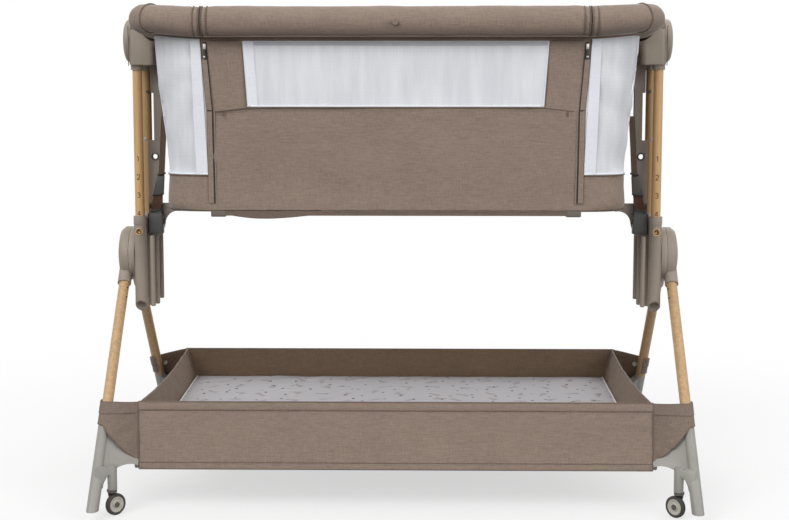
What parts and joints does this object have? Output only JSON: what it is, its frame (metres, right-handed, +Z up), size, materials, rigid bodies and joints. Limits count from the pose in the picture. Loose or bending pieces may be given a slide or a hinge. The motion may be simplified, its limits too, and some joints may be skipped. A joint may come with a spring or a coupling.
{
  "type": "bedside crib",
  "caption": "Padded bassinet with mesh windows and a drop-down front, on height-adjustable wooden posts with folding splayed legs, a fabric storage tray and swivel castors.",
  "frame": {"origin": "on the floor, under the middle of the crib", "axes": "+X to the right along the crib's length, -Y towards the parent's bed (the drop-down front), +Z up"},
  "size_m": [0.9554, 0.6712, 0.7934],
  "materials": {
    "housing_plastic": "moulded taupe plastic, matte",
    "foot_plastic": "moulded light grey-taupe plastic, matte",
    "beech_wood": "clear-lacquered light beech, satin",
    "steel_pin": "plain steel",
    "tube_metal": "plain tube",
    "bar_metal": "painted tube, matte",
    "melange_fabric": "woven melange taupe polyester",
    "inner_fabric": "woven melange taupe polyester, tray lining",
    "white_mesh": "white knitted mesh",
    "liner_fabric": "pale cotton with a small leaf print",
    "mattress_fabric": "white quilted cotton",
    "fibre_board": "plain fibre board",
    "buckle_plastic": "dark grey acetal",
    "webbing": "woven dark grey webbing",
    "zip_tape": "woven zip tape with coil teeth",
    "zip_metal": "nickel-plated slider",
    "stud_metal": "painted press stud",
    "tyre_rubber": "dark grey rubber",
    "wheel_plastic": "light grey moulded disc",
    "fork_plastic": "mid grey moulded fork"
  },
  "bodies": {
    "columns": {"column_housing_left": "housing_plastic", "column_housing_right": "housing_plastic", "hub_pins": "steel_pin", "tray_floor": "inner_fabric", "tray_liner": "liner_fabric", "tray_ends": "inner_fabric"},
    "front_stand": {"front_legs": "beech_wood", "front_hub_left": "housing_plastic", "front_hub_right": "housing_plastic", "front_foot_left": "foot_plastic", "front_foot_right": "foot_plastic", "front_cross_bar": "bar_metal", "tray_front_panel": "melange_fabric"},
    "rear_stand": {"rear_legs": "beech_wood", "rear_hub_left": "housing_plastic", "rear_hub_right": "housing_plastic", "rear_foot_left": "foot_plastic", "rear_foot_right": "foot_plastic", "rear_cross_bar": "bar_metal", "tray_back_panel": "melange_fabric"},
    "bassinet": {"posts_left": "beech_wood", "posts_right": "beech_wood", "top_housing_left": "housing_plastic", "top_housing_right": "housing_plastic", "rail_cover": "melange_fabric", "rail_tube": "tube_metal", "tub_shell": "melange_fabric", "corner_meshes": "white_mesh", "back_mesh": "white_mesh", "mattress": "mattress_fabric", "base_board": "fibre_board", "end_struts": "housing_plastic", "end_brackets": "housing_plastic", "straps": "webbing", "buckle_sockets": "buckle_plastic", "buckle_plugs": "buckle_plastic", "zip_tapes": "zip_tape"},
    "drop_side": {"drop_rail_cover": "melange_fabric", "drop_rail_tube": "tube_metal", "drop_panel": "melange_fabric", "drop_window": "white_mesh", "rail_stud": "stud_metal"},
    "left_zip": {"zip_slider_left": "zip_metal"},
    "right_zip": {"zip_slider_right": "zip_metal"},
    "front_left_castor": {"front_castor_fork_left": "fork_plastic"},
    "front_left_wheel": {"front_tyre_left": "tyre_rubber", "front_wheel_disc_left": "wheel_plastic"},
    "front_right_castor": {"front_castor_fork_right": "fork_plastic"},
    "front_right_wheel": {"front_tyre_right": "tyre_rubber", "front_wheel_disc_right": "wheel_plastic"},
    "rear_left_castor": {"rear_castor_fork_left": "fork_plastic"},
    "rear_left_wheel": {"rear_tyre_left": "tyre_rubber", "rear_wheel_disc_left": "wheel_plastic"},
    "rear_right_castor": {"rear_castor_fork_right": "fork_plastic"},
    "rear_right_wheel": {"rear_tyre_right": "tyre_rubber", "rear_wheel_disc_right": "wheel_plastic"},
    "left_fold_button": {"fold_button_left": "foot_plastic"},
    "left_height_button": {"height_button_left": "foot_plastic"},
    "right_fold_button": {"fold_button_right": "foot_plastic"},
    "right_height_button": {"height_button_right": "foot_plastic"}
  },
  "joints": [
    {"name": "front_fold", "type": "hinge", "parent": "columns", "child": "front_stand", "pos_m": [0, 0, 0.382], "axis": [1, 0, 0], "range_deg": [0, 26], "deforming": ["tray_floor", "tray_liner", "tray_ends"]},
    {"name": "rear_fold", "type": "hinge", "parent": "columns", "child": "rear_stand", "pos_m": [0, 0, 0.382], "axis": [1, 0, 0], "range_deg": [-26, 0], "deforming": ["tray_floor", "tray_liner", "tray_ends"]},
    {"name": "height_slide", "type": "slide", "parent": "columns", "child": "bassinet", "axis": [0, 0, 1], "range_m": [-0.1232, 0]},
    {"name": "drop_hinge", "type": "hinge", "parent": "bassinet", "child": "drop_side", "pos_m": [0, -0.19528, 0.4776], "axis": [1, 0, 0], "range_deg": [0, 150]},
    {"name": "left_zip_slide", "type": "slide", "parent": "bassinet", "child": "left_zip", "axis": [0.0524, 0.0364, -0.998], "range_m": [0, 0.224]},
    {"name": "right_zip_slide", "type": "slide", "parent": "bassinet", "child": "right_zip", "axis": [-0.0524, 0.0364, -0.998], "range_m": [0, 0.224]},
    {"name": "front_left_swivel", "type": "hinge", "parent": "front_stand", "child": "front_left_castor", "pos_m": [-0.4412, -0.28802, 0.05], "axis": [0, 0, 1], "continuous": true},
    {"name": "front_left_roll", "type": "hinge", "parent": "front_left_castor", "child": "front_left_wheel", "pos_m": [-0.43766, -0.28449, 0.01725], "axis": [-0.7071, 0.7071, 0], "continuous": true},
    {"name": "front_right_swivel", "type": "hinge", "parent": "front_stand", "child": "front_right_castor", "pos_m": [0.4412, -0.28802, 0.05], "axis": [0, 0, 1], "continuous": true},
    {"name": "front_right_roll", "type": "hinge", "parent": "front_right_castor", "child": "front_right_wheel", "pos_m": [0.43766, -0.28449, 0.01725], "axis": [0.7071, 0.7071, 0], "continuous": true},
    {"name": "rear_left_swivel", "type": "hinge", "parent": "rear_stand", "child": "rear_left_castor", "pos_m": [-0.43165, 0.28802, 0.05], "axis": [0, 0, 1], "continuous": true},
    {"name": "rear_left_roll", "type": "hinge", "parent": "rear_left_castor", "child": "rear_left_wheel", "pos_m": [-0.42811, 0.28449, 0.01725], "axis": [-0.7071, -0.7071, 0], "continuous": true},
    {"name": "rear_right_swivel", "type": "hinge", "parent": "rear_stand", "child": "rear_right_castor", "pos_m": [0.43165, 0.28802, 0.05], "axis": [0, 0, 1], "continuous": true},
    {"name": "rear_right_roll", "type": "hinge", "parent": "rear_right_castor", "child": "rear_right_wheel", "pos_m": [0.42811, 0.28449, 0.01725], "axis": [0.7071, -0.7071, 0], "continuous": true},
    {"name": "left_fold_press", "type": "slide", "parent": "front_stand", "child": "left_fold_button", "axis": [1, 0, 0], "range_m": [0, 0.004], "stiffness_N_per_m": 400, "springref_m": -0.003},
    {"name": "left_height_press", "type": "slide", "parent": "columns", "child": "left_height_button", "axis": [1, 0, 0], "range_m": [0, 0.0025], "stiffness_N_per_m": 400, "springref_m": -0.003},
    {"name": "right_fold_press", "type": "slide", "parent": "front_stand", "child": "right_fold_button", "axis": [-1, 0, 0], "range_m": [0, 0.004], "stiffness_N_per_m": 400, "springref_m": -0.003},
    {"name": "right_height_press", "type": "slide", "parent": "columns", "child": "right_height_button", "axis": [-1, 0, 0], "range_m": [0, 0.0025], "stiffness_N_per_m": 400, "springref_m": -0.003}
  ],
  "couplings": [
    {"joint": "rear_fold", "follows": "front_fold", "ratio": -1}
  ]
}
